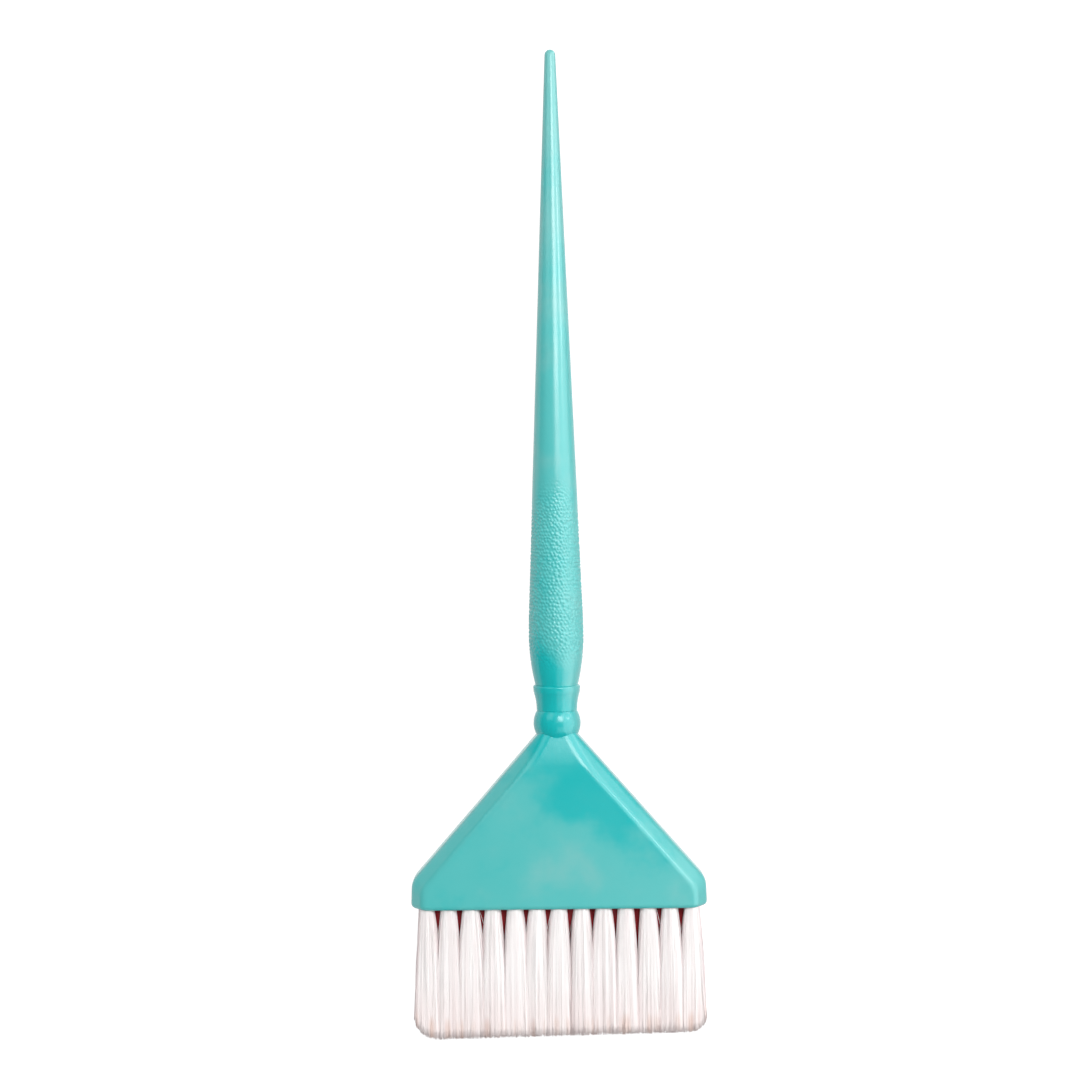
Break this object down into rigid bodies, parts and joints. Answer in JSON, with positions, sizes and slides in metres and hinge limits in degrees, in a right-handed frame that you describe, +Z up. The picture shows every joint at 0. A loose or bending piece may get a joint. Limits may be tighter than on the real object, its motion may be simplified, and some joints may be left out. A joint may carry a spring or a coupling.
{
  "type": "tint brush",
  "caption": "Wide hair colour brush: moulded handle with a slim tail, fat grip, collar, bead and flat triangular head that holds staggered rows of splayed bristle tufts.",
  "frame": {"origin": "centre of the bounding box, on the surface that the brush lies on", "axes": "+X across the bristles, +Y along the handle to the tip of its tail, +Z up through the front face; the brush lies on its back"},
  "size_m": [0.0798, 0.2664, 0.015],
  "materials": {
    "turquoise_plastic": "gloss",
    "white_filament": "satin",
    "red_filament": "satin",
    "anchor_wire": "satin"
  },
  "bodies": {
    "root": {"handle": "turquoise_plastic", "front_tuft_01": "white_filament", "front_tuft_02": "white_filament", "front_tuft_03": "white_filament", "front_tuft_04": "white_filament", "front_tuft_05": "white_filament", "front_tuft_06": "white_filament", "front_tuft_07": "white_filament", "front_tuft_08": "white_filament", "front_tuft_09": "white_filament", "front_tuft_10": "white_filament", "front_tuft_11": "white_filament", "front_tuft_12": "white_filament", "front_tuft_13": "white_filament", "middle_tuft_01": "red_filament", "middle_tuft_02": "red_filament", "middle_tuft_03": "red_filament", "middle_tuft_04": "red_filament", "middle_tuft_05": "red_filament", "middle_tuft_06": "red_filament", "middle_tuft_07": "red_filament", "middle_tuft_08": "red_filament", "middle_tuft_09": "red_filament", "middle_tuft_10": "red_filament", "middle_tuft_11": "red_filament", "middle_tuft_12": "red_filament", "back_tuft_01": "white_filament", "back_tuft_02": "white_filament", "back_tuft_03": "white_filament", "back_tuft_04": "white_filament", "back_tuft_05": "white_filament", "back_tuft_06": "white_filament", "back_tuft_07": "white_filament", "back_tuft_08": "white_filament", "back_tuft_09": "white_filament", "back_tuft_10": "white_filament", "back_tuft_11": "white_filament", "back_tuft_12": "white_filament", "back_tuft_13": "white_filament", "front_row_anchors": "anchor_wire", "middle_row_anchors": "anchor_wire", "back_row_anchors": "anchor_wire"}
  },
  "joints": []
}
